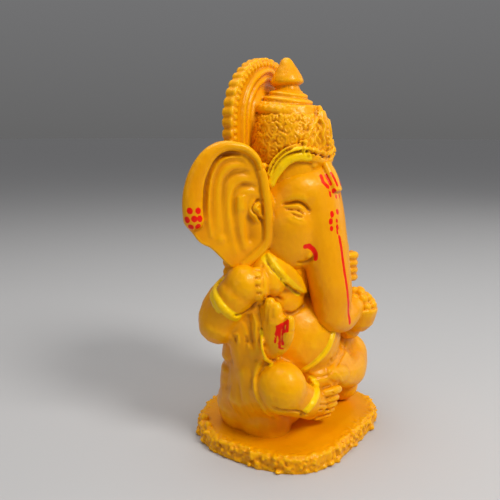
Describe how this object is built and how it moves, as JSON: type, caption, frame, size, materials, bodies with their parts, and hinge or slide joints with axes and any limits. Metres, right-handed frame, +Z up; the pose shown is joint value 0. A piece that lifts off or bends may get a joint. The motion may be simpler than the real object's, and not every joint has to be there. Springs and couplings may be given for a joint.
{
  "type": "ganesha statue",
  "caption": "Small cast and painted statue of Ganesha seated cross-legged before a ribbed halo, on a thin rough-edged plinth, with a bowl of sweets.",
  "frame": {"origin": "centre of the plinth's underside, below the figure's axis", "axes": "+Z up along the statue's height, the figure faces -Y and its right side is at -X"},
  "size_m": [0.0886, 0.07, 0.1503],
  "materials": {
    "golden_paint": "brushed golden yellow gloss paint with brighter gilt bands and red painted marks, over cast resin"
  },
  "bodies": {
    "root": {"ganesha_statue": "golden_paint"}
  },
  "joints": []
}
